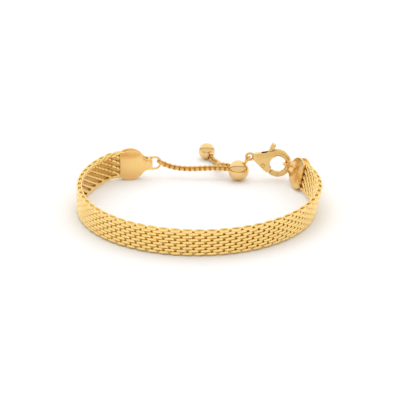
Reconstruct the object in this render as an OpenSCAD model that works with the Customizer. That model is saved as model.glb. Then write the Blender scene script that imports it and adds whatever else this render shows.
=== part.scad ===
// Gold mesh bracelet, in millimetres, Z up. A flat band of woven wire stands on its
// lower edge and forms the loop. Two flat end caps hold its ends at the back (+Y).
// A box chain runs from the left cap's ring into a slider bead, and leaves it again as
// a short tail with an end bead. A lobster clasp joins the slider bead's ring to the
// right cap's ring. The origin is on the floor, below the middle of the outer box.

/* [Loop] */
// Radius of the band's centre line at the front and the right, seen from above
loop_r = 27.7; // [25:0.1:32]
// Turn of that front arc to the right, up to the right end cap, in degrees
right_sweep = 115; // [112:1:118]
// Turn of that front arc to the left, in degrees
left_sweep = 70; // [60:1:80]
// Radius of the slightly wider arc that follows it at the left and the back
back_r = 28.6; // [26:0.1:33]
// Turn of that wider arc, in degrees
back_sweep = 60; // [55:1:62]
// Radius of the closer bend just before the left end cap
end_bend_r = 4; // [3:0.5:8]
// Turn of that closer bend, in degrees
end_bend_angle = 43; // [34:1:46]
// Outward lean of the band at the right end cap, in degrees
side_lean = 14; // [0:1:16]

/* [Mesh band] */
// Height of the band, which is the width of the woven strip
band_w = 6.6; // [5:0.1:7]
// Thickness of the band over its coils
band_t = 1.5; // [1.2:0.1:2]
// Thickness of the band's two ends, which are pressed flat in the caps
end_t = 1.1; // [0.9:0.1:1.2]
// Length over which the band thins towards each cap
press_run = 3; // [1:0.5:6]
// Distance between neighbouring coils along the band
coil_pitch = 1.4; // [1.2:0.05:2]
// How far every other coil stands back from the band's edges
edge_step = 0.35; // [0:0.05:0.6]
// Depth of the dips between coils, on each face
rib_depth = 0.12; // [0.05:0.01:0.25]
// Bevel along the band's four long edges
band_bevel = 0.3; // [0.1:0.05:0.5]

/* [End caps] */
// Diameter of a cap's round plates
cap_d = 7.5; // [7.2:0.1:8.6]
// Thickness of each of a cap's two plates
cap_plate_t = 0.35; // [0.3:0.05:0.6]
// Distance from a plate's centre to its straight mouth edge
cap_mouth = 2.45; // [2:0.05:3.2]
// Depth of the band's end inside the mouth
cap_seat = 3.2; // [2:0.1:4]
// Distance from a plate's centre to the end of its neck
neck_end = 5.3; // [5:0.1:6.5]
// Height of the neck
neck_h = 2.7; // [2.4:0.1:3.2]
// Radius of the hollow curves between plate and neck
neck_fillet = 1.6; // [1:0.1:2.4]
// Length of the solid end of the neck, between the plates
neck_block = 0.9; // [0.6:0.1:1.5]
// Gap between the band and each plate
seat_gap = 0.06; // [0.04:0.01:0.2]

/* [Cap rings] */
// Wire diameter of the ring on each cap
ring_wire = 0.55; // [0.4:0.05:0.65]
// Outer height of the ring
ring_h = 3.5; // [3.2:0.1:4.5]
// Straight legs of the ring, from its soldered bar to its round end
ring_leg = 0.8; // [0.7:0.05:1.5]
// How deep the ring's bar is sunk in the neck
ring_sink = 0.1; // [0:0.05:0.2]

/* [Box chain] */
// Length of a link
link_l = 1.05; // [1:0.01:1.4]
// Width of a link
link_w = 1.05; // [1:0.05:1.3]
// Thickness of the strip that a link is folded from
link_wire = 0.13; // [0.1:0.01:0.16]
// Width of that strip
link_strip = 0.34; // [0.3:0.02:0.44]
// Corner bevel of a link
link_bevel = 0.26; // [0.1:0.01:0.35]
// Gap between one link and the next
link_gap = 0.1; // [0.08:0.01:0.12]
// Gap between the two strands in the slider bead
strand_gap = 0.12; // [0.1:0.01:0.2]
// Strip thickness of the larger link on the left cap's ring
end_link_wire = 0.22; // [0.18:0.01:0.26]
// Strip width of that larger link
end_link_strip = 0.34; // [0.3:0.01:0.4]
// Sag of the chain between the left cap and the slider bead
chain_sag = 2.5; // [0.6:0.1:2.6]

/* [Beads] */
// Diameter of the slider bead
bead_d = 5; // [4.6:0.1:6]
// Direction in which the slider bead's mouth faces, in degrees from +X
mouth_azimuth = 163; // [155:1:175]
// Slope of the chain as it leaves the mouth, in degrees above level
mouth_rise = 15; // [10:1:25]
// Diameter of the end bead
end_bead_d = 4; // [3.4:0.1:5]
// Distance of the end bead from the slider bead, to the left
end_bead_left = 7.6; // [7:0.1:8.4]
// Distance of the end bead from the slider bead, to the back
end_bead_back = 13.9; // [13.4:0.1:15]
// Direction in which the end bead's mouth faces, in degrees from +X
end_mouth_azimuth = -57; // [-70:1:-45]
// Slope of the end bead's mouth, in degrees above level
end_mouth_rise = -28; // [-40:1:-20]
// Diameter of the hidden bar across each bead's bore
bar_d = 0.2; // [0.15:0.01:0.22]
// Distance of the bar from the bead's centre, towards the mouth
bar_depth = 0.5; // [0.4:0.05:0.8]

/* [Bead ring] */
// Wire diameter of the slider bead's soldered ring
bead_ring_wire = 0.45; // [0.35:0.05:0.5]
// Diameter of that ring, at the middle of its wire
bead_ring_d = 2; // [1.9:0.05:2.4]
// How deep the ring is sunk in the bead, at the middle of its wire
bead_ring_sink = 0.1; // [0.05:0.05:0.2]
// Direction from the slider bead to the clasp's eye, in degrees from +X
bead_ring_azimuth = 8; // [-10:1:30]

/* [Clasp] */
// Wire diameter of the clasp's hook
hook_wire = 1.44; // [1.2:0.02:1.5]
// Radius of the hook, at the middle of its wire
hook_r = 2.65; // [2.5:0.05:3]
// Distance from the clasp's eye to the hook's centre, along the clasp
hook_u = 6.7; // [6.6:0.1:8]
// Drop of the hook's centre below the eye
hook_drop = 1.8; // [1.5:0.1:2]
// Wire diameter of the clasp's eye
eye_wire = 0.62; // [0.5:0.02:0.7]
// Radius of the eye, at the middle of its wire
eye_r = 0.86; // [0.8:0.02:1.1]
// Thickness of the clasp's body
clasp_t = 1.9; // [1.7:0.1:2.4]
// Height of the body's neck at the eye
clasp_neck_h = 1.5; // [1.3:0.1:1.8]
// Metal between the pivot's centre and the body's lower edge
pivot_wall = 1.1; // [1:0.05:1.4]
// Turn of the clasp towards the front at its hook end, in degrees
clasp_yaw = 0; // [-5:1:15]
// Height of the hook's centre above the right cap's ring
hook_rise = 0.2; // [0:0.1:0.8]

/* [Clasp lever] */
// Distance from the eye to the lever's pivot, along the clasp
pivot_u = 3.15; // [3:0.05:3.5]
// Drop of the pivot below the eye
pivot_drop = 2.1; // [1.9:0.1:2.2]
// Diameter of the pivot pin
pin_d = 0.8; // [0.6:0.05:0.9]
// Gap between the pin and its bores, on the radius
pin_gap = 0.04; // [0.02:0.01:0.06]
// Thickness of the lever between the cheeks
lever_t = 0.7; // [0.5:0.05:0.9]
// Gap between the lever and the body
lever_gap = 0.12; // [0.1:0.01:0.15]
// Angle through which the lever opens, in degrees
lever_open = 22; // [15:1:22]
// Width of the lever's trigger arm
trigger_w = 0.9; // [0.7:0.05:1]
// Distance from the pivot to the trigger's tip
trigger_l = 6; // [5.8:0.1:6.6]
// Slope of the trigger arm, in degrees
trigger_slope = 63; // [60:1:66]
// Height of the trigger's thumb knob
knob_h = 1.3; // [1:0.1:1.4]
// Width of the knob, along the clasp
knob_w = 1.1; // [1:0.1:1.3]
// Thickness of the knob
knob_t = 1.5; // [1.2:0.1:1.9]
// Gap between the lever's tip and the hook's tip
tip_gap = 0.15; // [0.1:0.01:0.2]

/* [Hidden] */

$fn = 64;
gold = "#E3B560";
bright_gold = "#F0C670";
UP = [0, 0, 1];
// Steps of the main chain's curve, and of each stretch between the tail's points
curve_steps = 48;
spline_steps = 12;
// A little more than any cut needs
over = 0.2;

// The tail's route, from the slider bead's mouth to the end bead's mouth: distances
// to the left of and behind the slider bead's centre, and the height above the floor
// over a lying link's own half width
TAIL_ROUTE = [[3.9, 2.6, 2.35],
              [4.85, 4.75, 1.4],
              [4.8, 8.3, 0.55],
              [5.5, 10.4, 0.09]];

// Lean of the band along its length: share of the length from the left end, and share
// of side_lean
LEAN = [[0, 0], [0.25, 0], [0.5, 0.2], [0.7, 0.6], [0.87, 0.95], [0.96, 1], [1, 1]];

// General helpers: plan directions by heading, unit vectors and radians
function heading(a) = [cos(a), sin(a), 0];
function outward(a) = [sin(a), -cos(a), 0];
function unit(v) = v / norm(v);
function turned(a, rise) = [cos(a) * cos(rise), sin(a) * cos(rise), sin(rise)];
function arc_length(r, a) = r * a * PI / 180;

// Draws the children in a frame with its origin at o and the given axes
module in_frame(o, x, y, z)
    multmatrix([[x[0], y[0], z[0], o[0]],
                [x[1], y[1], z[1], o[1]],
                [x[2], y[2], z[2], o[2]],
                [0, 0, 0, 1]]) children();

// The band's path, by heading, which is 0 at the front: from the left cap's straight
// seat round the closer bend, the wider arc and the front arc to the right cap's seat
back_turn = left_sweep + back_sweep;
left_turn = back_turn + end_bend_angle;
back_centre = (loop_r - back_r) * outward(-left_sweep);
bend_centre = back_centre + (back_r - end_bend_r) * outward(-back_turn);
left_mouth = bend_centre + end_bend_r * outward(-left_turn);
right_mouth = loop_r * outward(right_sweep);
back_from = cap_seat + arc_length(end_bend_r, end_bend_angle);
arc_from = back_from + arc_length(back_r, back_sweep);
seat_from = arc_from + arc_length(loop_r, left_sweep + right_sweep);
band_len = seat_from + cap_seat;

function band_heading(s) = lookup(s, [[cap_seat, -left_turn], [back_from, -back_turn],
                                      [arc_from, -left_sweep], [seat_from, right_sweep]]);
function band_point(s) =
    s < cap_seat ? left_mouth + (s - cap_seat) * heading(-left_turn) :
    s < back_from ? bend_centre + end_bend_r * outward(band_heading(s)) :
    s < arc_from ? back_centre + back_r * outward(band_heading(s)) :
    s < seat_from ? loop_r * outward(band_heading(s)) :
    right_mouth + (s - seat_from) * heading(right_sweep);
function band_lean(s) = side_lean * lookup(s / band_len, LEAN);

// Where the band leans it stands on its outer edge. Its height there runs along
// leaning(...), from a base that is lifted by edge_lift(...)
function leaning(out, lean) = cos(lean) * UP + sin(lean) * out;
function edge_lift(lean) = band_t / 2 * sin(lean) * UP;

// A cap reaches below the band's edge, so the band rests on its front edge and the
// right cap: the loop tilts a little about its front edge
left_forward = heading(180 - left_turn);
right_forward = heading(right_sweep);
left_cap_at = left_mouth + cap_mouth * left_forward;
right_cap_at = right_mouth + cap_mouth * right_forward;
cap_slot = end_t + 2 * seat_gap;
cap_dip = (cap_d - band_w) / 2 * cos(side_lean)
    + (cap_slot / 2 + cap_plate_t - band_t / 2) * sin(side_lean);
front_y = -loop_r - band_t / 2;
rest_tilt = asin(cap_dip / (right_cap_at[1] - front_y));

function rested(p) = [p[0],
    front_y + (p[1] - front_y) * cos(rest_tilt) - p[2] * sin(rest_tilt),
    (p[1] - front_y) * sin(rest_tilt) + p[2] * cos(rest_tilt)];
module rested_loop()
    translate([0, front_y, 0]) rotate([rest_tilt, 0, 0]) translate([0, -front_y, 0]) children();

// Cap rings: the bar is sunk in the neck, and the round end is the farthest
ring_r = (ring_h - ring_wire) / 2;
ring_far = ring_leg + ring_r - ring_sink;
ring_hole = (ring_leg + ring_r) / 2 - ring_sink;
function cap_centre(at, forward, lean) =
    at + edge_lift(lean) + band_w / 2 * leaning(cross(forward, UP), lean);
left_ring_far = rested(cap_centre(left_cap_at, left_forward, 0)
    + (neck_end + ring_far) * left_forward);
right_ring_hole = rested(cap_centre(right_cap_at, right_forward, side_lean)
    + (neck_end + ring_hole) * right_forward);

// The clasp's frame: u from the eye to the hook, v up, w towards the front. The hook's
// far side passes down through the right cap's ring
clasp_u = heading(-clasp_yaw);
clasp_w = -outward(180 - clasp_yaw);
hook_c = [hook_u, -hook_drop];
clasp_at = right_ring_hole - (hook_u + hook_r) * clasp_u + (hook_drop + hook_rise) * UP;
module clasp_frame() in_frame(clasp_at, clasp_u, UP, clasp_w) children();

// The slider bead rests on the floor, and its soldered ring reaches the clasp's eye
bead_reach = bead_d / 2 + bead_ring_d - bead_ring_sink;
bead_rise = clasp_at[2] - bead_d / 2;
bead_run = sqrt(bead_reach * bead_reach - bead_rise * bead_rise);
bead_at = clasp_at - bead_run * heading(bead_ring_azimuth) - bead_rise * UP;
bead_to_eye = unit(clasp_at - bead_at);
bead_ring_side = unit(clasp_w - (clasp_w * bead_to_eye) * bead_to_eye);

// Two strands of chain lie side by side in the slider bead's bore, round one bar: the
// main chain in front and the tail behind
strand_off = (link_w + strand_gap) / 2;
strand_dir = turned(mouth_azimuth, mouth_rise);
strand_side = heading(mouth_azimuth + 90);
end_dir = turned(end_mouth_azimuth, end_mouth_rise);
end_bead_at = [bead_at[0] - end_bead_left, bead_at[1] + end_bead_back, end_bead_d / 2];
end_side = heading(end_mouth_azimuth + 90);
// Play of a link on the bar or the link that it holds, of the larger link on its ring,
// and of the links in the two beads' bores, on the diameter
link_play = 1.3 * link_gap;
ring_play = 4 * link_gap;
bore_play = 5 * link_gap;
end_bore_play = 4 * link_gap;
// How far a link that holds a bar reaches past the middle of that bar
bar_hold = link_wire + link_play + bar_d / 2;
bore_d = 2 * norm([strand_off + link_w / 2, link_strip / 2]) + bore_play;
end_bore_d = 2 * norm([link_w / 2, link_strip / 2]) + end_bore_play;
bead_bar = bead_at + bar_depth * strand_dir;
end_bar = end_bead_at + bar_depth * end_dir;

// Chain curves as lists of points, their running lengths, and places along them
function running(p) = [for (i = 0, s = 0; i < len(p);
    s = s + (i + 1 < len(p) ? norm(p[i + 1] - p[i]) : 0), i = i + 1) s];
function track(p) = let (s = running(p))
    [for (k = [0:2]) [for (i = [0:len(p) - 1]) [s[i], p[i][k]]]];
function track_len(t) = t[0][len(t[0]) - 1][0];
function place(t, s) = [lookup(s, t[0]), lookup(s, t[1]), lookup(s, t[2])];
function bezier(p, t) = let (q = 1 - t)
    q * q * q * p[0] + 3 * q * q * t * p[1] + 3 * q * t * t * p[2] + t * t * t * p[3];
function spline(p, i, t) = let (m0 = (p[i + 1] - p[max(i - 1, 0)]) / 2,
    m1 = (p[min(i + 2, len(p) - 1)] - p[i]) / 2)
    bezier([p[i], p[i] + m0 / 3, p[i + 1] - m1 / 3, p[i + 1]], t);
function spline_points(p) = [for (i = [0:len(p) - 2], j = [0:spline_steps - 1])
    spline(p, i, j / spline_steps), p[len(p) - 1]];

// The larger link holds the left cap's ring and the first link of the chain
end_link_l = 2 * (end_link_wire + ring_play) + ring_wire + link_wire;
end_link_w = ring_wire + 2 * link_gap + 2 * end_link_wire;
end_link_hold = end_link_wire + ring_play + ring_wire / 2;

// Between its ends the main chain's curve hangs by its sag: a parabola starts downwards as
// steeply as a line to four times that sag, which a cubic curve reaches in thirds
main_to = bead_bar + strand_off * strand_side - bar_hold * strand_dir;
main_dir = unit(main_to - left_ring_far - 4 * chain_sag * UP);
main_from = left_ring_far - end_link_hold * main_dir;
main_handle = norm(main_to - main_from) / 3;
main_track = track([for (i = [0:curve_steps]) bezier([main_from,
    main_from + (main_to - main_from) / 3 - 4 / 3 * chain_sag * UP,
    main_to + main_handle * strand_dir, main_to], i / curve_steps)]);

tail_from = bead_bar - strand_off * strand_side - bar_hold * strand_dir;
tail_to = end_bar - bar_hold * end_dir;
tail_track = track(spline_points(concat(
    [tail_from, tail_from + (bead_d / 2 + bar_hold - bar_depth) * strand_dir],
    [for (r = TAIL_ROUTE) [bead_at[0] - r[0], bead_at[1] + r[1], r[2] + link_w / 2]],
    [tail_to + (end_bead_d / 2 + bar_hold) * end_dir, tail_to])));

// Links are spaced evenly, an odd number of them, so that both ends stand upright. At
// this pitch a link is as clear of the one it holds as of the next but one
link_pitch = 2 / 3 * (link_l - link_wire);
function whole_odd(n) = 2 * round((n - 1) / 2) + 1;
main_first = end_link_l - end_link_wire - link_play - link_wire;
main_run = track_len(main_track) - main_first - link_l;
main_links = whole_odd(main_run / link_pitch + 1);
tail_run = track_len(tail_track) - link_l;
tail_links = whole_odd(tail_run / link_pitch + 1);

// The outer box, for the origin below its middle: the band's top edge at the front and
// on the right, its left side, and the end bead
front_s = arc_from + arc_length(loop_r, left_sweep);
right_s = front_s + arc_length(loop_r, 90);
function top_reach(s) = loop_r + band_t / 2 * cos(band_lean(s))
    + (band_w - band_bevel) * sin(band_lean(s));
box_x = [back_centre[0] - back_r - band_t / 2, top_reach(right_s)];
box_y = [rested([0, -top_reach(front_s), band_w])[1], end_bead_at[1] + end_bead_d / 2];
module on_origin()
    translate([-(box_x[0] + box_x[1]) / 2, -(box_y[0] + box_y[1]) / 2, 0]) children();

// Cross-section of the band at station i of its length. Odd stations are on a coil, even
// ones are in the dip before it, and every other coil is narrower. The ends of the band
// are thinner
function band_section(i, s) =
    let (coil = i % 2 == 1, wide = floor(i / 2) % 2 == 0, b = band_bevel,
         press_from = cap_seat + coil_pitch / 2,
         full_t = lookup(min(s, band_len - s),
                         [[press_from, end_t], [press_from + press_run, band_t]]),
         t = full_t / 2 - (coil ? 0 : rib_depth),
         low_z = coil && wide ? 0 : coil ? edge_step : edge_step / 2,
         top_z = band_w - low_z)
    [[t, low_z + b], [t, top_z - b], [t - b, top_z], [b - t, top_z],
     [-t, top_z - b], [-t, low_z + b], [b - t, low_z], [t - b, low_z]];

module mesh_band() {
    coils = round(band_len / coil_pitch);
    stations = 2 * coils;
    ring = len(band_section(0, 0));
    points = [for (i = [0:stations]) let (s = band_len * i / stations, lean = band_lean(s),
        out = outward(band_heading(s)), across = cos(lean) * out - sin(lean) * UP)
        for (q = band_section(i, s)) band_point(s) + edge_lift(lean)
            + q[0] * across + q[1] * leaning(out, lean)];
    faces = concat(
        [for (i = [0:stations - 1], j = [0:ring - 1]) [i * ring + j,
            i * ring + (j + 1) % ring, (i + 1) * ring + j]],
        [for (i = [0:stations - 1], j = [0:ring - 1]) [i * ring + (j + 1) % ring,
            (i + 1) * ring + (j + 1) % ring, (i + 1) * ring + j]],
        [[for (j = [0:ring - 1]) ring - 1 - j]],
        [[for (j = [0:ring - 1]) stations * ring + j]]);
    color(gold) on_origin() rested_loop() polyhedron(points, faces);
}

// One plate of a cap, in its own plane: a disc with a straight mouth edge, drawn in to
// the neck by a hollow curve on each side
module cap_outline() {
    r = cap_d / 2;
    fillet_z = neck_h / 2 + neck_fillet;
    fillet_x = sqrt(pow(r + neck_fillet, 2) - fillet_z * fillet_z);
    meet = r / (r + neck_fillet);
    difference() {
        circle(r);
        translate([-cap_mouth - 2 * r, -r]) square(2 * r);
    }
    difference() {
        polygon([[0, fillet_z * meet], [fillet_x * meet, fillet_z * meet],
                 [min(fillet_x, neck_end), neck_h / 2], [neck_end, neck_h / 2],
                 [neck_end, -neck_h / 2], [min(fillet_x, neck_end), -neck_h / 2],
                 [fillet_x * meet, -fillet_z * meet], [0, -fillet_z * meet]]);
        for (side = [-1, 1]) translate([fillet_x, side * fillet_z]) circle(neck_fillet);
    }
}

// A D-shaped wire ring in the cap's plane, with its bar at the origin along Y
module cap_ring() {
    for (side = [-1, 1]) translate([0, side * ring_r, 0]) {
        sphere(d = ring_wire);
        rotate([0, 90, 0]) cylinder(d = ring_wire, h = ring_leg);
    }
    translate([0, ring_r, 0]) rotate([90, 0, 0]) cylinder(d = ring_wire, h = 2 * ring_r);
    translate([ring_leg, 0, 0]) rotate([0, 0, -90]) rotate_extrude(angle = 180)
        translate([ring_r, 0]) circle(d = ring_wire);
}

// A cap at a place of the loop, pointing forward, leaning with the band, and with its
// ring rolled about its own axis
module end_cap(at, forward, lean, ring_roll) {
    up = leaning(cross(forward, UP), lean);
    on_origin() rested_loop()
        in_frame(cap_centre(at, forward, lean), forward, up, cross(forward, up)) {
            for (side = [-1, 1]) translate([0, 0, side * (cap_slot + cap_plate_t) / 2])
                linear_extrude(cap_plate_t, center = true) cap_outline();
            translate([neck_end - neck_block / 2, 0, 0])
                cube([neck_block, neck_h, cap_slot + cap_plate_t], center = true);
            translate([neck_end - ring_sink, 0, 0]) rotate([ring_roll, 0, 0]) cap_ring();
        }
}

module left_end_cap() color(bright_gold) end_cap(left_cap_at, left_forward, 0, 0);
module right_end_cap()
    color(bright_gold) end_cap(right_cap_at, right_forward, side_lean, 90);

// A link of folded strip, with bevelled corners
module link_outline(l, w, bevel) {
    x = l / 2;
    y = w / 2;
    polygon([[x, bevel - y], [x, y - bevel], [x - bevel, y], [bevel - x, y],
             [-x, y - bevel], [-x, bevel - y], [bevel - x, -y], [x - bevel, -y]]);
}
module link(l, w, wire, strip, bevel)
    linear_extrude(strip, center = true) difference() {
        link_outline(l, w, bevel);
        offset(delta = -wire) link_outline(l, w, bevel);
    }

// Puts a link of length l on a track from s on, lying flat or standing upright
module link_on(t, s, l, upright) {
    from = place(t, s);
    to = place(t, s + l);
    along = unit(to - from);
    side = unit(cross(UP, along));
    top = cross(along, side);
    in_frame((from + to) / 2, along, upright ? top : side, upright ? -side : top) children();
}

module chain_links(t, first, run, count, starts_upright) {
    pitch = run / (count - 1);
    for (i = [0:count - 1])
        link_on(t, first + i * pitch, link_l, (i % 2 == 0) == starts_upright)
            link(link_l, link_w, link_wire, link_strip, link_bevel);
}

module main_chain() color(bright_gold) on_origin() {
    link_on(main_track, 0, end_link_l, false)
        link(end_link_l, end_link_w, end_link_wire, end_link_strip, link_bevel);
    chain_links(main_track, main_first, main_run, main_links, true);
}

module tail_chain() color(bright_gold) on_origin()
    chain_links(tail_track, 0, tail_run, tail_links, true);

// A bead with a blind bore along dir and a bar across it along side
module barred_bead(at, d, bore, dir, side) {
    in_frame(at, side, cross(dir, side), dir) {
        rotate_extrude() difference() {
            circle(d = d);
            translate([-d, -d]) square([d, 2 * d]);
            translate([-over, bar_depth - bar_hold - link_play])
                square([over + bore / 2, d]);
        }
        translate([0, 0, bar_depth]) rotate([0, 90, 0])
            cylinder(d = bar_d, h = bore + 2 * over, center = true);
    }
}

module slider_bead() color(bright_gold) on_origin() {
    barred_bead(bead_at, bead_d, bore_d, strand_dir, strand_side);
    ring_mid = bead_d / 2 - bead_ring_sink + bead_ring_d / 2;
    in_frame(bead_at + ring_mid * bead_to_eye, bead_to_eye, bead_ring_side,
             cross(bead_to_eye, bead_ring_side))
        rotate_extrude() translate([bead_ring_d / 2, 0]) circle(d = bead_ring_wire);
}

module end_bead() color(bright_gold) on_origin()
    barred_bead(end_bead_at, end_bead_d, end_bore_d, end_dir, end_side);

// Clasp outlines, in u and v from the eye's centre
pivot = [pivot_u, -pivot_drop];
hook_in = hook_r - hook_wire / 2;
hook_out = hook_r + hook_wire / 2;
// Headings round the hook's centre, in degrees: where the body meets the hook at the top,
// where the hook's wire starts inside the body, where it passes into the tip, the split
// between the tip and the lever's gate, where the gate meets its arm, where the gate
// starts, and where the body ends at the bottom
body_top = 100;
hook_root = 125;
tip_from = -45;
split_heading = -96;
gate_arm_at = -125;
gate_from = -133;
body_end = -139;
// Slope of the split, and how far the hook's parts run past each other or past a cut
split_slope = 45;
lap = 1;
tip_lap = 28;

function round_hook(a, r) = hook_c + r * [cos(a), sin(a)];
split_at = round_hook(split_heading, hook_r);

// Part of the hook's round wire, from one heading to another
module hook_arc(from, to)
    translate(hook_c) rotate(from) rotate_extrude(angle = to - from)
        translate([hook_r, 0]) circle(d = hook_wire);

// The space on the gate's side of the split, with a gap
module gate_side(gap)
    translate(split_at) rotate(split_slope)
        translate([-hook_r, gap, -hook_r]) cube([2 * hook_r, 2 * hook_r, 2 * hook_r]);

// A strip from the pivot in a direction
module strip(turn, l, w)
    translate(pivot) rotate(turn) translate([0, -w / 2]) square([l, w]);

// The lever's flat outline, grown by a clearance
module lever_outline(grow) {
    gate_arm = round_hook(gate_arm_at, hook_r) - pivot;
    translate(pivot) circle(d = 2 * pin_d + 2 * grow);
    strip(trigger_slope, trigger_l - knob_h / 2 + grow, trigger_w + 2 * grow);
    strip(atan2(gate_arm[1], gate_arm[0]), norm(gate_arm), trigger_w + 2 * grow);
}

module clasp_body() color(bright_gold) on_origin() clasp_frame() {
    rotate_extrude() translate([eye_r, 0]) circle(d = eye_wire);
    difference() {
        union() {
            linear_extrude(clasp_t, center = true) difference() {
                polygon([[eye_r, clasp_neck_h / 2], round_hook(body_top, hook_out), hook_c,
                         round_hook(body_end, hook_out), [pivot_u, -pivot_drop - pivot_wall],
                         [eye_r, -clasp_neck_h / 2]]);
                translate(hook_c) circle(hook_in);
            }
            hook_arc(tip_from, hook_root);
        }
        linear_extrude(lever_t + 2 * lever_gap, center = true)
            for (a = [0, 0.5, 1]) translate(pivot) rotate(a * lever_open)
                translate(-pivot) lever_outline(lever_gap);
        translate(pivot) cylinder(r = pin_d / 2 + pin_gap, h = 2 * clasp_t, center = true);
    }
    difference() {
        hook_arc(split_heading - tip_lap, tip_from + lap);
        gate_side(-tip_gap);
    }
}

module clasp_lever() color(gold) on_origin() clasp_frame() {
    difference() {
        union() {
            linear_extrude(lever_t, center = true) lever_outline(0);
            translate(pivot) rotate(trigger_slope)
                translate([trigger_l - knob_h / 2, 0, 0])
                cube([knob_h, knob_w, knob_t], center = true);
        }
        translate(pivot) cylinder(r = pin_d / 2 + pin_gap, h = 2 * clasp_t, center = true);
    }
    intersection() {
        hook_arc(gate_from, split_heading + tip_lap);
        gate_side(0);
    }
}

module clasp_pin() color(gold) on_origin() clasp_frame()
    translate(pivot) cylinder(d = pin_d, h = clasp_t, center = true);

mesh_band();
left_end_cap();
right_end_cap();
main_chain();
tail_chain();
slider_bead();
end_bead();
clasp_body();
clasp_lever();
clasp_pin();
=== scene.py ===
"""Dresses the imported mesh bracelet: woven coils, polished caps, chain links, beads and clasp.

Lengths in the classes are millimetres, as in the part's source. Meshes are in metres.
"""

import logging
import math
from collections.abc import Iterable, Sequence
from dataclasses import dataclass, field
from enum import Enum

import bmesh
import bpy
import numpy as np
from mathutils import Matrix, Vector


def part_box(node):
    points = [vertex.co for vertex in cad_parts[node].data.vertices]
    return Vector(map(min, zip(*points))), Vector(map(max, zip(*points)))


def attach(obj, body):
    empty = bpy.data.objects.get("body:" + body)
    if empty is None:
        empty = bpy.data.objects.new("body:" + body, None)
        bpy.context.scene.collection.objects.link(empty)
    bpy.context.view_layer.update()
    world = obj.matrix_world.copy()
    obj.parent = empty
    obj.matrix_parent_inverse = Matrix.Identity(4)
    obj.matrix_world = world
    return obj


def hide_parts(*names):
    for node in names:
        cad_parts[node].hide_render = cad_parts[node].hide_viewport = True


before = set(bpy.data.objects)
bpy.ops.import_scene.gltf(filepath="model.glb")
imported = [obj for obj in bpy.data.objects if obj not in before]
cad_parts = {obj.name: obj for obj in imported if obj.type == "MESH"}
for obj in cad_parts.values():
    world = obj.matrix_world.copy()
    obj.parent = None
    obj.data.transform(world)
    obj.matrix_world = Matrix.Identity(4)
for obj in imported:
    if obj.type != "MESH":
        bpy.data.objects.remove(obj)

LOG = logging.getLogger("bracelet")
MM = 0.001
# Corners of the frame's loose triangles that are closer than this, in mm, are one corner
MERGE = 0.0005
UP = Vector((0.0, 0.0, 1.0))
BODY = "bracelet"
LEVER_BODY = "lever"


def heading(degrees: float) -> Vector:
    """Unit vector on the floor, turned from +X by an angle in degrees."""
    return Vector((math.cos(math.radians(degrees)), math.sin(math.radians(degrees)), 0.0))


def outward(degrees: float) -> Vector:
    """Unit vector away from the loop's middle where the band's heading is the angle."""
    return Vector((math.sin(math.radians(degrees)), -math.cos(math.radians(degrees)), 0.0))


def turned(azimuth: float, rise: float) -> Vector:
    """Unit vector at an azimuth and a rise above level, both in degrees."""
    flat = math.cos(math.radians(rise))
    return heading(azimuth) * flat + UP * math.sin(math.radians(rise))


def lookup(x: float, table: Sequence[tuple[float, float]]) -> float:
    """Linear interpolation in a rising table.

    Args:
        x: Where to read the table.
        table: Pairs of place and value. Outside it the end values hold.

    Returns:
        The value at x.
    """
    if x <= table[0][0]:
        return table[0][1]
    for (x0, y0), (x1, y1) in zip(table, table[1:]):
        if x <= x1:
            return y0 + (y1 - y0) * (x - x0) / (x1 - x0)
    return table[-1][1]


def linear_rgba(hex_colour: str) -> tuple[float, float, float, float]:
    """Turns an sRGB hex colour into the linear colour that a shader takes.

    Args:
        hex_colour: Such as "#F0C670".

    Returns:
        Red, green, blue and alpha.
    """
    parts = [int(hex_colour[i : i + 2], 16) / 255 for i in (1, 3, 5)]
    red, green, blue = (
        c / 12.92 if c <= 0.04045 else ((c + 0.055) / 1.055) ** 2.4 for c in parts
    )
    return red, green, blue, 1.0


def add_node(
    tree: bpy.types.NodeTree,
    kind: str,
    values: dict[str | int, object] | None = None,
    links: dict[str | int, bpy.types.NodeSocket] | None = None,
    **settings: object,
) -> bpy.types.Node:
    """Adds a node, fills its inputs and links them.

    Args:
        tree: The tree that gets the node.
        kind: The node's Blender type.
        values: Input name or number, and the value that it is set to.
        links: Input name or number, and the output that feeds it.
        settings: Properties of the node itself.

    Returns:
        The new node.
    """
    node = tree.nodes.new(kind)
    for name, value in settings.items():
        setattr(node, name, value)
    for key, value in (values or {}).items():
        node.inputs[key].default_value = value
    for key, output in (links or {}).items():
        tree.links.new(output, node.inputs[key])
    return node


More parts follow.
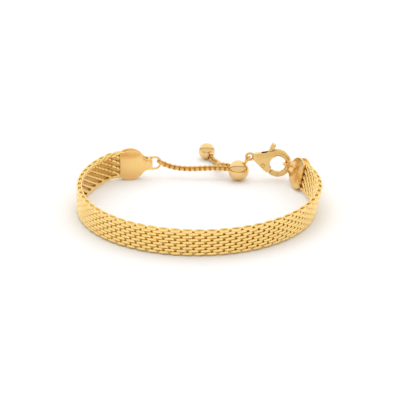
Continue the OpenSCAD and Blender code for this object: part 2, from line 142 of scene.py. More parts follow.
@dataclass(frozen=True)
class GoldFinish:
    """Gold plate over brass, in one of the ways that the bracelet's pieces are finished.

    The colour wanders a little between two golds, and fine marks in the surface break
    the reflections up. Sizes are the real ones, in millimetres.
    """

    name: str
    slot: str
    light: str
    deep: str
    roughness: float
    roughness_spread: float
    patch_size: float
    mark_size: float
    mark_depth: float

    def build(self) -> bpy.types.Material:
        """Makes the material.

        Returns:
            The material, with its colour, roughness and bump from nodes.
        """
        material = bpy.data.materials.new(self.name)
        material.use_nodes = True
        tree = material.node_tree
        tree.nodes.clear()
        place = add_node(tree, "ShaderNodeTexCoord").outputs["Object"]
        patches = add_node(
            tree,
            "ShaderNodeTexNoise",
            {"Scale": 1 / (self.patch_size * MM), "Detail": 3.0, "Roughness": 0.5},
            {"Vector": place},
        )
        colour = add_node(
            tree,
            "ShaderNodeMix",
            {6: linear_rgba(self.deep), 7: linear_rgba(self.light)},
            {0: patches.outputs["Fac"]},
            data_type="RGBA",
        )
        marks = add_node(
            tree,
            "ShaderNodeTexNoise",
            {"Scale": 1 / (self.mark_size * MM), "Detail": 4.0, "Roughness": 0.6},
            {"Vector": place},
        )
        # The noise seldom leaves the range from 0.3 to 0.7
        rough = add_node(
            tree,
            "ShaderNodeMapRange",
            {
                "From Min": 0.3,
                "From Max": 0.7,
                "To Min": self.roughness - self.roughness_spread,
                "To Max": self.roughness + self.roughness_spread,
            },
            {"Value": marks.outputs["Fac"]},
        )
        bump = add_node(
            tree,
            "ShaderNodeBump",
            {"Strength": 1.0, "Distance": self.mark_depth * MM},
            {"Height": marks.outputs["Fac"]},
        )
        shader = add_node(
            tree,
            "ShaderNodeBsdfPrincipled",
            {"Metallic": 1.0},
            {
                "Base Color": colour.outputs[2],
                "Roughness": rough.outputs["Result"],
                "Normal": bump.outputs["Normal"],
            },
        )
        add_node(tree, "ShaderNodeOutputMaterial", links={"Surface": shader.outputs[0]})
        return material


class Finish(Enum):
    """The bracelet's finishes, each with the record's material slot that it belongs to."""

    # Drawn and rolled wire, plated after weaving: bright crests, soft along the wire
    WOVEN = GoldFinish(
        "rolled_gold_wire", "woven_gold", "#FFE298", "#FAD588",
        roughness=0.2, roughness_spread=0.05, patch_size=2.0, mark_size=0.25, mark_depth=0.004,
    )
    # The same wire between the coils, in a darker gold: painted shade for the weave's shadowed
    # inside
    PACKED = GoldFinish(
        "shade_darkened_gold_wire", "woven_gold", "#E6BC6C", "#D2A556",
        roughness=0.3, roughness_spread=0.05, patch_size=1.0, mark_size=0.2, mark_depth=0.004,
    )
    # Stamped plate of the end caps: polished, but worn to soft reflections
    PLATE = GoldFinish(
        "satin_gold_plate", "polished_gold", "#F6D08C", "#EFC67E",
        roughness=0.22, roughness_spread=0.02, patch_size=4.0, mark_size=1.5, mark_depth=0.0006,
    )
    # Mirror-polished plate: clear reflections with only faint wear
    POLISHED = GoldFinish(
        "mirror_gold_plate", "polished_gold", "#EFCD90", "#E9C383",
        roughness=0.07, roughness_spread=0.02, patch_size=3.0, mark_size=1.0, mark_depth=0.0006,
    )
    # Folded strip, tumbled bright
    CHAIN = GoldFinish(
        "tumbled_gold_strip", "chain_gold", "#EABE72", "#DCAC5C",
        roughness=0.18, roughness_spread=0.04, patch_size=1.5, mark_size=0.3, mark_depth=0.003,
    )
    # Lost-wax casting, polished by hand, so a little wavier than plate
    CAST = GoldFinish(
        "hand_polished_gold", "cast_gold", "#EAC887", "#E1BC76",
        roughness=0.15, roughness_spread=0.04, patch_size=2.5, mark_size=0.8, mark_depth=0.006,
    )

    @property
    def slot(self) -> str:
        """The record's material slot."""
        return self.value.slot

    def material(self) -> bpy.types.Material:
        """The finish's material, made once."""
        return bpy.data.materials.get(self.value.name) or self.value.build()


def dress(piece: bpy.types.Object, finish: Finish, body: str, nodes: Iterable[str]) -> None:
    """Gives a finished piece its material and its place in the frame.

    Args:
        piece: A mesh object at the origin.
        finish: Its finish.
        body: The body that it rides on.
        nodes: The solids that it stands for.
    """
    piece.data.materials.clear()
    piece.data.materials.append(finish.material())
    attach(piece, body)
    finish.slot
    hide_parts(*nodes)
    LOG.info("%s: %d faces, for %s", piece.name, len(piece.data.polygons), ", ".join(nodes))


def link_mesh(name: str, mesh: bpy.types.Mesh) -> bpy.types.Object:
    """Puts a mesh in the scene as an object at the origin."""
    piece = bpy.data.objects.new(name, mesh)
    bpy.context.scene.collection.objects.link(piece)
    return piece


def applied(piece: bpy.types.Object) -> bpy.types.Object:
    """Bakes an object's modifiers into a plain mesh and drops them."""
    evaluated = piece.evaluated_get(bpy.context.evaluated_depsgraph_get())
    mesh = bpy.data.meshes.new_from_object(evaluated)
    mesh.name = piece.name
    piece.modifiers.clear()
    piece.data = mesh
    return piece


def merged_copy(node: str, name: str) -> bpy.types.Object:
    """Copies a solid's loose triangles into a new object and merges them.

    Args:
        node: The solid's name in the frame.
        name: The new object's name.

    Returns:
        The copy, at the origin.
    """
    made = bmesh.new()
    made.from_mesh(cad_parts[node].data)
    bmesh.ops.remove_doubles(made, verts=made.verts, dist=MERGE * MM)
    mesh = bpy.data.meshes.new(name)
    made.to_mesh(mesh)
    made.free()
    return link_mesh(name, mesh)


def run_tree(
    name: str, mesh: bpy.types.Mesh, tree: bpy.types.NodeTree, inputs: dict[str, object]
) -> bpy.types.Object:
    """Runs a Geometry Nodes tree on a mesh and keeps the result as a plain mesh.

    Args:
        name: The piece's name.
        mesh: The points that the tree works on.
        tree: The tree, with named inputs.
        inputs: Input name and value.

    Returns:
        The piece, with no modifier left.
    """
    piece = link_mesh(name, mesh)
    modifier = piece.modifiers.new("tree", "NODES")
    modifier.node_group = tree
    for item in tree.interface.items_tree:
        if item.item_type == "SOCKET" and item.in_out == "INPUT" and item.name in inputs:
            modifier[item.identifier] = inputs[item.name]
    return applied(piece)


def new_tree(name: str, floats: dict[str, float], ints: dict[str, int]) -> bpy.types.NodeTree:
    """Starts a Geometry Nodes tree with a geometry input and output and named numbers.

    Args:
        name: The tree's name.
        floats: Name and default of each number.
        ints: Name and default of each whole number.

    Returns:
        The tree.
    """
    tree = bpy.data.node_groups.new(name, "GeometryNodeTree")
    socket = tree.interface.new_socket
    socket("Geometry", in_out="INPUT", socket_type="NodeSocketGeometry")
    for key, value in floats.items():
        socket(key, in_out="INPUT", socket_type="NodeSocketFloat").default_value = value
    for key, value in ints.items():
        socket(key, in_out="INPUT", socket_type="NodeSocketInt").default_value = value
    socket("Material", in_out="INPUT", socket_type="NodeSocketMaterial")
    socket("Geometry", in_out="OUTPUT", socket_type="NodeSocketGeometry")
    return tree


def marked_points(
    name: str, frames: Sequence[Matrix], extra: dict[str, Sequence[Vector]]
) -> bpy.types.Mesh:
    """Makes a mesh of points, each with the turn of its frame and other vectors.

    Args:
        name: The mesh's name.
        frames: A 4 by 4 matrix for each point.
        extra: Attribute name and one vector for each point.

    Returns:
        The mesh, with the attribute "turn" and the extra ones.
    """
    mesh = bpy.data.meshes.new(name)
    mesh.from_pydata([m.translation for m in frames], [], [])
    turns = [Vector(m.to_euler("XYZ")) for m in frames]
    for key, vectors in {"turn": turns, **extra}.items():
        layer = mesh.attributes.new(key, "FLOAT_VECTOR", "POINT")
        layer.data.foreach_set("vector", [c for v in vectors for c in v])
    return mesh


def frame_matrix(at: Vector, x: Vector, y: Vector, z: Vector) -> Matrix:
    """A 4 by 4 matrix with its origin and its three axes."""
    turn = Matrix((x, y, z)).transposed().to_4x4()
    turn.translation = at
    return turn


def middle(points: Sequence[Vector]) -> Vector:
    """The middle of some points."""
    return sum(points, Vector()) / len(points)


def thinnest(points: Sequence[Vector]) -> Vector:
    """The direction in which some points spread least."""
    spread = np.array(points) - np.array(middle(points))
    return Vector(np.linalg.eigh(spread.T @ spread)[1][:, 0]).normalized()


def instances(
    tree: bpy.types.NodeTree,
    points: bpy.types.NodeSocket,
    shape: bpy.types.NodeSocket,
    chosen: bpy.types.NodeSocket | None = None,
) -> bpy.types.NodeSocket:
    """Adds nodes that set a shape on marked points.

    Args:
        tree: The tree that gets the nodes.
        points: The marked points.
        shape: The shape.
        chosen: Which points get it, or none for all of them.

    Returns:
        The instances.
    """
    marks = {
        key: add_node(
            tree, "GeometryNodeInputNamedAttribute", {"Name": key}, data_type="FLOAT_VECTOR"
        ).outputs[0]
        for key in ("turn", "size")
    }
    turn = add_node(tree, "FunctionNodeEulerToRotation", links={0: marks["turn"]})
    links = {
        "Points": points,
        "Instance": shape,
        "Rotation": turn.outputs[0],
        "Scale": marks["size"],
    }
    if chosen:
        links["Selection"] = chosen
    return add_node(tree, "GeometryNodeInstanceOnPoints", links=links).outputs[0]


def finish_tree(
    tree: bpy.types.NodeTree,
    parts: Sequence[bpy.types.NodeSocket],
    material: bpy.types.NodeSocket,
) -> None:
    """Ends a tree: joins its parts, makes them real, smooth and dressed.

    Args:
        tree: The tree.
        parts: What it has made.
        material: The material for all of it.
    """
    join = add_node(tree, "GeometryNodeJoinGeometry")
    for part in parts:
        tree.links.new(part, join.inputs[0])
    real = add_node(tree, "GeometryNodeRealizeInstances", links={0: join.outputs[0]})
    smooth = add_node(tree, "GeometryNodeSetShadeSmooth", links={0: real.outputs[0]})
    painted = add_node(
        tree,
        "GeometryNodeSetMaterial",
        links={"Geometry": smooth.outputs[0], "Material": material},
    )
    add_node(tree, "NodeGroupOutput", links={0: painted.outputs[0]})


@dataclass
class BandPath:
    """The band's path, leant and tilted as it rests, from the same sizes as the solids."""

    loop_r: float = 27.7
    right_sweep: float = 115.0
    left_sweep: float = 70.0
    back_r: float = 28.6
    back_sweep: float = 60.0
    end_bend_r: float = 4.0
    end_bend_angle: float = 43.0
    side_lean: float = 14.0
    lean_shares: tuple[tuple[float, float], ...] = (
        (0, 0), (0.25, 0), (0.5, 0.2), (0.7, 0.6), (0.87, 0.95), (0.96, 1), (1, 1),
    )
    width: float = 6.6
    thickness: float = 1.5
    end_thickness: float = 1.1
    press_run: float = 3.0
    coil_pitch: float = 1.4
    cap_d: float = 7.5
    cap_plate_t: float = 0.35
    cap_mouth: float = 2.45
    cap_seat: float = 3.2
    seat_gap: float = 0.06
    box_shift: tuple[float, float] = (-0.692033, -3.25944)

    def __post_init__(self) -> None:
        """Works out the path's bends, joints and tilt."""
        self.back_turn = self.left_sweep + self.back_sweep
        self.left_turn = self.back_turn + self.end_bend_angle
        self.back_centre = outward(-self.left_sweep) * (self.loop_r - self.back_r)
        self.bend_centre = self.back_centre + outward(-self.back_turn) * (
            self.back_r - self.end_bend_r
        )
        self.left_mouth = self.bend_centre + outward(-self.left_turn) * self.end_bend_r
        self.right_mouth = outward(self.right_sweep) * self.loop_r
        self.back_from = self.cap_seat + self.end_bend_r * math.radians(self.end_bend_angle)
        self.arc_from = self.back_from + self.back_r * math.radians(self.back_sweep)
        self.seat_from = self.arc_from + self.loop_r * math.radians(
            self.left_sweep + self.right_sweep
        )
        self.length = self.seat_from + self.cap_seat
        lean = math.radians(self.side_lean)
        slot = self.end_thickness + 2 * self.seat_gap
        dip = (self.cap_d - self.width) / 2 * math.cos(lean) + (
            slot / 2 + self.cap_plate_t - self.thickness / 2
        ) * math.sin(lean)
        right_cap = self.right_mouth + heading(self.right_sweep) * self.cap_mouth
        self.front_y = -self.loop_r - self.thickness / 2
        self.tilt = math.asin(dip / (right_cap.y - self.front_y))

    def heading_at(self, s: float) -> float:
        """The band's heading in degrees at a length along it."""
        return lookup(
            s,
            [
                (self.cap_seat, -self.left_turn),
                (self.back_from, -self.back_turn),
                (self.arc_from, -self.left_sweep),
                (self.seat_from, self.right_sweep),
            ],
        )

    def point_at(self, s: float) -> Vector:
        """The middle of the band's lower edge at a length along it, before it tilts."""
        turn = self.heading_at(s)
        if s < self.cap_seat:
            return self.left_mouth + heading(-self.left_turn) * (s - self.cap_seat)
        if s < self.back_from:
            return self.bend_centre + outward(turn) * self.end_bend_r
        if s < self.arc_from:
            return self.back_centre + outward(turn) * self.back_r
        if s < self.seat_from:
            return outward(turn) * self.loop_r
        return self.right_mouth + heading(self.right_sweep) * (s - self.seat_from)

    def thickness_at(self, s: float) -> float:
        """The band's thickness at a length along it: its ends are pressed flat."""
        press_from = self.cap_seat + self.coil_pitch / 2
        return lookup(
            min(s, self.length - s),
            [
                (press_from, self.end_thickness),
                (press_from + self.press_run, self.thickness),
            ],
        )

    def frame_at(self, s: float) -> Matrix:
        """The band's frame at a length along it, in metres, as it rests.

        Args:
            s: Length along the band in millimetres.

        Returns:
            X runs along the band, Y is inwards and Z up the band's height.
        """
        lean = math.radians(self.side_lean * lookup(s / self.length, self.lean_shares))
        turn = self.heading_at(s)
        out = outward(turn)
        up = UP * math.cos(lean) + out * math.sin(lean)
        across = out * math.cos(lean) - UP * math.sin(lean)
        at = self.point_at(s) + UP * (self.thickness / 2 * math.sin(lean))
        local = frame_matrix(at, heading(turn), -across, up)
        hinge = Vector((0.0, self.front_y, 0.0))
        rest = (
            Matrix.Translation(hinge)
            @ Matrix.Rotation(self.tilt, 4, "X")
            @ Matrix.Translation(-hinge)
        )
        placed = Matrix.Translation((*self.box_shift, 0.0)) @ rest @ local
        placed.translation *= MM
        return placed


@dataclass
class WovenBand:
    """The woven strip: flattened wire coils, each wound through the two beside it.

    Every other coil has one turn less, so that the strands of neighbouring coils lie
    between each other like bricks, and both edges are gently scalloped. Inside them a thin
    strip stands for their packed bends, so that no light comes through.
    """

    path: BandPath
    coils: int = 92
    wide_turns: int = 5
    wire_height: float = 0.77
    wire_depth: float = 0.46
    coil_width: float = 2.7
    squareness: float = 0.66
    level: float = 1.35
    inner_drop: float = 0.42
    top_reach: float = 0.25
    foot_reach: float = 0.5
    # Turns from a coil's start to the middle of its first strand on the outer face
    first_front: float = 0.75
    turn_steps: int = 20
    wire_sides: int = 8
    core_height: float = 5.9
    core_thickness: float = 0.3
    core_step: float = 0.7

    def tree(self) -> bpy.types.NodeTree:
        """Builds the tree that winds the two kinds of coil and sets them on the points."""
        tree = new_tree(
            "woven_coils",
            {
                "Wire Height": self.wire_height * MM,
                "Wire Depth": self.wire_depth * MM,
                "Coil Width": self.coil_width * MM,
                "Thickness": self.path.thickness * MM,
                "Band Height": self.path.width * MM,
                "Squareness": self.squareness,
                "Level": self.level,
                "Inner Drop": self.inner_drop * MM,
                "Top Reach": self.top_reach,
                "Foot Reach": self.foot_reach,
            },
            {
                "Wide Turns": self.wide_turns,
                "Turn Steps": self.turn_steps,
                "Wire Sides": self.wire_sides,
            },
        )
        given = add_node(tree, "NodeGroupInput").outputs

        def maths(operation: str, *parts: object) -> bpy.types.NodeSocket:
            """One sum on sockets or numbers."""
            fixed = {k: v for k, v in enumerate(parts) if isinstance(v, (int, float))}
            fed = {k: v for k, v in enumerate(parts) if k not in fixed}
            return add_node(tree, "ShaderNodeMath", fixed, fed, operation=operation).outputs[0]

        rows = maths("SUBTRACT", given["Wide Turns"], 1.0)
        climb = maths("SUBTRACT", given["Band Height"], given["Wire Height"])
        pitch = maths("DIVIDE", climb, rows)
        half_wide = maths(
            "MULTIPLY", maths("SUBTRACT", given["Coil Width"], given["Wire Depth"]), 0.5
        )
        half_thick = maths(
            "MULTIPLY", maths("SUBTRACT", given["Thickness"], given["Wire Depth"]), 0.5
        )
        round_wire = add_node(
            tree,
            "GeometryNodeCurvePrimitiveCircle",
            {"Radius": 0.5},
            {"Resolution": given["Wire Sides"]},
        )
        wire_size = add_node(
            tree,
            "ShaderNodeCombineXYZ",
            {"Z": 1.0},
            {"X": given["Wire Depth"], "Y": given["Wire Height"]},
        )
        flat_wire = add_node(
            tree,
            "GeometryNodeTransform",
            links={"Geometry": round_wire.outputs["Curve"], "Scale": wire_size.outputs[0]},
        )
        coils = []
        for turns_less in (0.0, 1.0):
            # Half a turn more at the start, which lies level and closes the coil's end
            turns = maths("SUBTRACT", maths("ADD", given["Wide Turns"], 0.5), turns_less)
            spiral = add_node(
                tree,
                "GeometryNodeCurveSpiral",
                {"Start Radius": 1.0, "End Radius": 1.0},
                {
                    "Resolution": given["Turn Steps"],
                    "Rotations": turns,
                    "Height": maths("MULTIPLY", turns, pitch),
                },
            )
            half_turned = add_node(
                tree,
                "GeometryNodeTransform",
                {"Rotation": (0.0, 0.0, math.pi)},
                {"Geometry": spiral.outputs["Curve"]},
            )
            x, y, z = add_node(
                tree,
                "ShaderNodeSeparateXYZ",
                links={0: add_node(tree, "GeometryNodeInputPosition").outputs[0]},
            ).outputs
            # The wire runs nearly level on the outer face and climbs on the inner face
            shift = maths("MULTIPLY", maths("MULTIPLY", x, given["Level"]), 1 / math.tau)
            drop = maths("MULTIPLY", maths("MULTIPLY", y, given["Inner Drop"]), 0.5)
            height = maths("SUBTRACT", z, drop)
            turned_by = maths("ADD", maths("DIVIDE", height, pitch), shift)
            steps = maths("SUBTRACT", turned_by, self.first_front)
            # The narrow coils' ends reach a little past their last rows
            reach = maths("MULTIPLY", given["Top Reach"], turns_less)
            top_row = maths("ADD", maths("SUBTRACT", rows, turns_less), reach)
            low_row = maths("MULTIPLY", given["Foot Reach"], -turns_less)
            row = maths("MAXIMUM", maths("MINIMUM", steps, top_row), low_row)
            inset = maths("MULTIPLY", given["Wire Height"], 0.5)
            base = maths("ADD", inset, maths("MULTIPLY", pitch, turns_less / 2))
            depth = maths("POWER", maths("ABSOLUTE", y), given["Squareness"])
            place = add_node(
                tree,
                "ShaderNodeCombineXYZ",
                links={
                    "X": maths("MULTIPLY", x, half_wide),
                    "Y": maths("MULTIPLY", maths("MULTIPLY", depth, maths("SIGN", y)), half_thick),
                    "Z": maths("MULTIPLY_ADD", row, pitch, base),
                },
            )
            shaped = add_node(
                tree,
                "GeometryNodeSetPosition",
                links={"Geometry": half_turned.outputs[0], "Position": place.outputs[0]},
            )
            upright = add_node(
                tree,
                "GeometryNodeSetCurveNormal",
                links={"Curve": shaped.outputs[0]},
                mode="Z_UP",
            )
            wire = add_node(
                tree,
                "GeometryNodeCurveToMesh",
                {"Fill Caps": True},
                {"Curve": upright.outputs[0], "Profile Curve": flat_wire.outputs[0]},
            )
            coils.append(wire.outputs[0])
        index = add_node(tree, "GeometryNodeInputIndex").outputs[0]
        narrow = maths("MODULO", index, 2.0)
        on_points = [
            instances(tree, given["Geometry"], coil, chosen)
            for coil, chosen in zip(coils, (maths("SUBTRACT", 1.0, narrow), narrow))
        ]
        finish_tree(tree, on_points, given["Material"])
        return tree

    def core(self) -> bpy.types.Mesh:
        """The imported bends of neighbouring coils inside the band, as one flat strip.

        Returns:
            A closed strip along the band's middle, inside the coils.
        """
        half, inset = self.core_thickness / 2, (self.path.width - self.core_height) / 2
        steps = round(self.path.length / self.core_step)
        ends = self.path.cap_seat / 2
        run = self.path.length - 2 * ends
        section = [
            Vector((0, y * MM, z * MM))
            for y, z in (
                (-half, inset), (half, inset),
                (half, inset + self.core_height), (-half, inset + self.core_height),
            )
        ]
        corners = [
            self.path.frame_at(ends + run * i / steps) @ corner
            for i in range(steps + 1)
            for corner in section
        ]
        count = len(section)
        faces = [
            (a, b, b + count, a + count)
            for i in range(steps)
            for a, b in ((i * count + k, i * count + (k + 1) % count) for k in range(count))
        ]
        first, last = tuple(range(count)), tuple(range(steps * count, (steps + 1) * count))
        mesh = bpy.data.meshes.new("packed_bends")
        mesh.from_pydata(corners, [], [*faces, first[::-1], last])
        made = bmesh.new()
        made.from_mesh(mesh)
        bmesh.ops.recalc_face_normals(made, faces=made.faces)
        made.to_mesh(mesh)
        made.free()
        return mesh

    def build(self) -> bpy.types.Object:
        """Sets the coils along the band and dresses them and the strip inside them.

        Returns:
            The woven coils, one plain mesh.
        """
        places = [self.path.length * (i + 0.5) / self.coils for i in range(self.coils)]
        sizes = [Vector((1, self.path.thickness_at(s) / self.path.thickness, 1)) for s in places]
        points = marked_points(
            "woven_band", [self.path.frame_at(s) for s in places], {"size": sizes}
        )
        band = run_tree("woven_band", points, self.tree(), {"Material": Finish.WOVEN.material()})
        dress(band, Finish.WOVEN, BODY, ["mesh_band"])
        # The strip inside the coils takes the darker gold, painted shade that darkens the gaps in
        # the weave
        dress(link_mesh("woven_band_core", self.core()), Finish.PACKED, BODY, ["mesh_band"])
        return band


@dataclass
class ChainRun:
    """One stretch of the box chain: square links of strip, folded with rounded corners."""

    node: str
    name: str
    first_beside: str
    solid_length: float = 1.05
    length: float = 1.24
    strip: float = 0.62
    strip_thickness: float = 0.26
    corner: float = 0.36
    corner_steps: int = 4
    edge: float = 0.06

    def solids(self) -> list[list[Vector]]:
        """Reads the corners of each loose link of the solid chain."""
        made = bmesh.new()
        made.from_mesh(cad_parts[self.node].data)
        bmesh.ops.remove_doubles(made, verts=made.verts, dist=MERGE * MM)
        seen: set[int] = set()
        links = []
        for seed in made.verts:
            if seed.index in seen:
                continue
            seen.add(seed.index)
            group = [seed]
            for vert in group:
                for edge in vert.link_edges:
                    other = edge.other_vert(vert)
                    if other.index not in seen:
                        seen.add(other.index)
                        group.append(other)
            links.append([vert.co.copy() for vert in group])
        made.free()
        return links

    def frames(self) -> tuple[list[Matrix], list[Vector]]:
        """Works out where each link is and how it is turned.

        Returns:
            A frame for each link, from one end of the chain to the other, with X along the
            chain and Z through the link, and each link's size over a common link's.
        """
        left = self.solids()
        low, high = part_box(self.first_beside)
        at = (Vector(low) + Vector(high)) / 2
        ordered = []
        while left:
            nearest = min(left, key=lambda link: (middle(link) - at).length)
            left.remove(nearest)
            ordered.append(nearest)
            at = middle(nearest)
        middles = [middle(link) for link in ordered]
        turns, sizes = [], []
        for i, link in enumerate(ordered):
            through = thinnest(link)
            along = middles[min(i + 1, len(middles) - 1)] - middles[max(i - 1, 0)]
            along = (along - through * along.dot(through)).normalized()
            side = through.cross(along)
            turns.append(frame_matrix(middles[i], along, side, through))
            spans = [
                max(v.dot(axis) for v in link) - min(v.dot(axis) for v in link)
                for axis in (along, side)
            ]
            sizes.append(Vector((*(span / (self.solid_length * MM) for span in spans), 1.0)))
        return turns, sizes

    def tree(self) -> bpy.types.NodeTree:
        """Builds the tree that folds one link and sets it on the points."""
        tree = new_tree(
            "chain_links",
            {
                "Length": self.length * MM,
                "Strip": self.strip * MM,
                "Strip Thickness": self.strip_thickness * MM,
                "Corner": self.corner * MM,
                "Edge": self.edge * MM,
            },
            {"Corner Steps": self.corner_steps},
        )
        given = add_node(tree, "NodeGroupInput").outputs
        outline = add_node(
            tree,
            "ShaderNodeMath",
            links={0: given["Length"], 1: given["Strip Thickness"]},
            operation="SUBTRACT",
        ).outputs[0]
        bent = []
        for wide, high, corner, steps in (
            (outline, outline, given["Corner"], given["Corner Steps"]),
            (given["Strip Thickness"], given["Strip"], given["Edge"], 1),
        ):
            square = add_node(
                tree,
                "GeometryNodeCurvePrimitiveQuadrilateral",
                links={"Width": wide, "Height": high},
            )
            fixed = {"Count": steps} if isinstance(steps, int) else {}
            fed = {} if fixed else {"Count": steps}
            rounded = add_node(
                tree,
                "GeometryNodeFilletCurve",
                {"Limit Radius": True, **fixed},
                {"Curve": square.outputs[0], "Radius": corner, **fed},
                mode="POLY",
            )
            bent.append(rounded.outputs[0])
        upright = add_node(
            tree, "GeometryNodeSetCurveNormal", links={"Curve": bent[0]}, mode="Z_UP"
        )
        link = add_node(
            tree,
            "GeometryNodeCurveToMesh",
            links={"Curve": upright.outputs[0], "Profile Curve": bent[1]},
        )
        on_points = [instances(tree, given["Geometry"], link.outputs[0])]
        finish_tree(tree, on_points, given["Material"])
        return tree

    def build(self) -> bpy.types.Object:
        """Builds the links where the solid's links are and dresses them."""
        turns, sizes = self.frames()
        points = marked_points(self.name, turns, {"size": sizes})
        chain = run_tree(self.name, points, self.tree(), {"Material": Finish.CHAIN.material()})
        dress(chain, Finish.CHAIN, BODY, [self.node])
        return chain


@dataclass
class PolishedCopy:
    """A solid's own shape with its hard edges broken, as polishing leaves them."""

    node: str
    name: str
    finish: Finish
    body: str = BODY
    edge: float = 0.08
    edge_steps: int = 2
    sharp_angle: float = 28.0
    # Half of its width across the clasp, where the dressed piece is thinner than the solid
    half_width: float | None = None

    def build(self) -> bpy.types.Object:
        """Copies the solid, bevels its edges and shades it smooth.

        Returns:
            The dressed copy.
        """
        piece = merged_copy(self.node, self.name)
        if self.half_width:
            low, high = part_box(self.node)
            centre, half = (low[1] + high[1]) / 2, (high[1] - low[1]) / 2
            share = self.half_width * MM / half
            for vert in piece.data.vertices:
                vert.co.y = centre + (vert.co.y - centre) * share
        bevel = piece.modifiers.new("broken_edges", "BEVEL")
        bevel.width = self.edge * MM
        bevel.segments = self.edge_steps
        bevel.limit_method = "ANGLE"
        bevel.angle_limit = math.radians(self.sharp_angle)
        bevel.harden_normals = True
        for face in piece.data.polygons:
            face.use_smooth = True
        applied(piece)
        dress(piece, self.finish, self.body, [self.node])
        return piece


@dataclass
class CastPiece:
    """A cast piece of the clasp: the solid's shape, melted soft at its edges."""

    node: str
    name: str
    body: str
    voxel: float = 0.07
    smoothing: int = 8
    relax_factor: float = 0.5

    def rough_shape(self) -> bpy.types.Object:
        """The shape before it is melted soft: the solid's own."""
        return merged_copy(self.node, self.name)

    def build(self) -> bpy.types.Object:
        """Remeshes the solid finely and relaxes it, so that its edges are round.

        Returns:
            The dressed piece.
        """
        piece = self.rough_shape()
        remesh = piece.modifiers.new("skin", "REMESH")
        remesh.mode = "VOXEL"
        remesh.voxel_size = self.voxel * MM
        remesh.use_smooth_shade = True
        relax = piece.modifiers.new("relax", "SMOOTH")
        relax.factor = self.relax_factor
        relax.iterations = self.smoothing
        applied(piece)
        dress(piece, Finish.CAST, self.body, [self.node])
        return piece


@dataclass
class ClaspBody(CastPiece):
    """The clasp's body, with the thick round arm that sweeps from its eye up to the hook.

    The plate below the arm is thinner than the solid's, so that the arm stands proud.
    The arm is three slices side by side. The middle one leaves out the trigger's slot.
    """

    middle_at: tuple[float, float, float] = (12.0725, 16.7065, 5.94058)
    # Along the clasp, above its middle, and the arm's radius there
    arm: tuple[tuple[float, float, float], ...] = (
        (0.8, 0.05, 0.55), (1.7, 0.1, 0.7), (2.6, 0.25, 0.8), (4.3, 0.62, 0.88),
        (5.7, 0.98, 0.88), (6.9, 1.08, 0.84), (7.9, 0.75, 0.8), (8.7, 0.05, 0.75),
    )
    plate_half: float = 0.62
    plate_until: float = 6.2
    slot: tuple[float, float] = (1.2, 6.4)
    slot_half: float = 0.47
    overlap: float = 0.1
    step: float = 0.15
    sides: int = 24

    def rough_shape(self) -> bpy.types.Object:
        """The solid with the arm's slices added."""
        piece = merged_copy(self.node, self.name)
        made = bmesh.new()
        made.from_mesh(piece.data)
        for vert in made.verts:
            along, side = (vert.co / MM - Vector(self.middle_at)).xy
            if along < self.plate_until:
                side = max(-self.plate_half, min(self.plate_half, side))
            vert.co.y = (self.middle_at[1] + side) * MM
        start, end = self.arm[0][0], self.arm[-1][0]
        cheek, middle_slice = self.slot_half, self.slot_half + self.overlap
        widest = max(radius for _, _, radius in self.arm)
        for along, across in (
            ((start, end), (-widest, -cheek)),
            ((start, end), (cheek, widest)),
            ((start, self.slot[0]), (-middle_slice, middle_slice)),
            ((self.slot[1], end), (-middle_slice, middle_slice)),
        ):
            self.add_slice(made, along, across)
        made.to_mesh(piece.data)
        made.free()
        return piece

    def add_slice(
        self, made: bmesh.types.BMesh, along: tuple[float, float], across: tuple[float, float]
    ) -> None:
        """Adds one closed slice of the arm.

        Args:
            made: The mesh that gets it.
            along: Where it starts and ends along the clasp.
            across: Its limits across the clasp.
        """
        heights = [(u, v) for u, v, _ in self.arm]
        radii = [(u, r) for u, _, r in self.arm]
        steps = round((along[1] - along[0]) / self.step)
        rings = []
        for i in range(steps + 1):
            u = along[0] + (along[1] - along[0]) * i / steps
            radius = lookup(u, radii)
            rise = lookup(u + self.step, heights) - lookup(u - self.step, heights)
            up = Vector((-rise, 0.0, 2 * self.step)).normalized()
            at = Vector(self.middle_at) + Vector((u, 0.0, lookup(u, heights)))
            ring = []
            for k in range(self.sides):
                turn = math.tau * k / self.sides
                aside = max(across[0], min(across[1], radius * math.sin(turn)))
                spot = at + up * (radius * math.cos(turn)) + Vector((0.0, aside, 0.0))
                ring.append(made.verts.new(spot * MM))
            rings.append(ring)
        faces = [made.faces.new(rings[0]), made.faces.new(rings[-1][::-1])]
        for low, high in zip(rings, rings[1:]):
            for k in range(self.sides):
                j = (k + 1) % self.sides
                faces.append(made.faces.new((low[j], low[k], high[k], high[j])))
        bmesh.ops.recalc_face_normals(made, faces=faces)


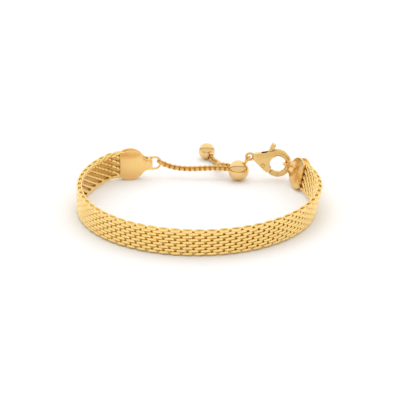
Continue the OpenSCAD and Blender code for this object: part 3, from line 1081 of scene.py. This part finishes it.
@dataclass
class Studio:
    """A pale floor, soft studio light and the photograph's camera."""

    floor_size: float = 3000.0
    camera_rise: float = 22.0
    camera_distance: float = 1250.0
    aim: tuple[float, float, float] = (0.108, -3.159, 3.0)
    pixels_per_mm: float = 4.22
    frame_pixels: int = 400
    aim_drop: float = 1.165
    sensor: float = 36.0
    # Brightness of the light tent by the closeness to its bright side, which is up and
    # behind the bracelet, with a dark seam round that side
    tent: tuple[tuple[float, float], ...] = (
        (0.0, 0.94), (0.3, 0.9), (0.41, 0.75), (0.43, 0.08), (0.48, 0.08), (0.5, 1.2),
    )
    bright_side: tuple[float, float, float] = (0.0, 0.7, 0.714)
    # Name, place, width and power in watts
    lamps: list[tuple[str, tuple[float, float, float], float, float]] = field(
        default_factory=lambda: [
            ("overhead", (0, 0, 420), 400, 0.15),
            ("front_left", (-420, -300, 260), 260, 0.08),
            ("right", (420, -60, 220), 240, 0.04),
            ("back", (60, 420, 260), 300, 0.04),
        ]
    )

    def build(self) -> None:
        """Builds the floor, the lights, the world and the camera."""
        self.floor()
        self.lights()
        self.camera()

    def floor(self) -> None:
        """A plain matt floor at the surface that the bracelet rests on."""
        half = self.floor_size / 2 * MM
        mesh = bpy.data.meshes.new("floor")
        corners = [(-half, -half, 0), (half, -half, 0), (half, half, 0), (-half, half, 0)]
        mesh.from_pydata(corners, [], [(0, 1, 2, 3)])
        plane = link_mesh("floor", mesh)
        material = bpy.data.materials.new("matt_white_paper")
        material.use_nodes = True
        shader = material.node_tree.nodes["Principled BSDF"]
        shader.inputs["Base Color"].default_value = linear_rgba("#FFFFFF")
        shader.inputs["Roughness"].default_value = 0.9
        shader.inputs["Specular IOR Level"].default_value = 0.2
        mesh.materials.append(material)

    def lights(self) -> None:
        """Large soft lamps round the bracelet, and the light tent that its metal mirrors."""
        for name, place, size, power in self.lamps:
            lamp = bpy.data.lights.new(name, "AREA")
            lamp.shape = "DISK"
            lamp.size = size * MM
            lamp.energy = power
            holder = bpy.data.objects.new(name, lamp)
            # Polished metal shows only the tent
            holder.visible_glossy = False
            holder.location = Vector(place) * MM
            holder.rotation_euler = (-Vector(place)).to_track_quat("-Z", "Y").to_euler()
            bpy.context.scene.collection.objects.link(holder)
        world = bpy.data.worlds.new("studio")
        world.use_nodes = True
        tree = world.node_tree
        sky = tree.nodes["Background"]
        closeness = add_node(
            tree,
            "ShaderNodeVectorMath",
            {1: self.bright_side},
            {0: add_node(tree, "ShaderNodeTexCoord").outputs["Generated"]},
            operation="DOT_PRODUCT",
        )
        tent = add_node(tree, "ShaderNodeValToRGB", links={0: closeness.outputs["Value"]})
        stops = tent.color_ramp.elements
        for i, (height, grey) in enumerate(self.tent):
            stop = stops[i] if i < len(stops) else stops.new(height)
            stop.position = height
            stop.color = (grey, grey, grey, 1.0)
        tree.links.new(tent.outputs["Color"], sky.inputs["Color"])
        sky.inputs["Strength"].default_value = 1.0
        bpy.context.scene.world = world
        bpy.context.scene.view_settings.view_transform = "Standard"

    def camera(self) -> None:
        """The photograph's camera: far off, a little above the bracelet."""
        lens = self.pixels_per_mm * self.camera_distance / self.frame_pixels * self.sensor
        data = bpy.data.cameras.new("camera")
        data.lens = lens
        data.sensor_width = self.sensor
        data.clip_start = 0.05
        data.clip_end = 50.0
        back = -turned(90.0, -self.camera_rise)
        holder = bpy.data.objects.new("camera", data)
        aim = Vector(self.aim)
        holder.rotation_euler = (-back).to_track_quat("-Z", "Y").to_euler()
        lift = Vector(holder.rotation_euler.to_matrix() @ Vector((0, 1, 0)))
        drop = self.aim_drop / self.pixels_per_mm
        holder.location = (aim + back * self.camera_distance - lift * drop) * MM
        bpy.context.scene.collection.objects.link(holder)
        bpy.context.scene.camera = holder


def main() -> None:
    """Builds every piece of the bracelet, then the studio round it."""
    logging.basicConfig(level=logging.INFO, format="%(name)s: %(message)s")
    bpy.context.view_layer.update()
    path = BandPath()
    WovenBand(path).build()
    for side in ("left", "right"):
        PolishedCopy(f"{side}_end_cap", f"{side}_cap_polished", Finish.PLATE).build()
    ChainRun("main_chain", "main_chain_links", "left_end_cap").build()
    ChainRun("tail_chain", "tail_chain_links", "end_bead").build()
    PolishedCopy("slider_bead", "slider_bead_polished", Finish.POLISHED).build()
    PolishedCopy("end_bead", "end_bead_polished", Finish.POLISHED).build()
    ClaspBody("clasp_body", "clasp_body_cast", BODY).build()
    CastPiece("clasp_lever", "clasp_lever_cast", LEVER_BODY, smoothing=20).build()
    PolishedCopy("clasp_pin", "clasp_pin_polished", Finish.CAST, half_width=0.61).build()
    Studio().build()


if __name__ == "__main__":
    main()
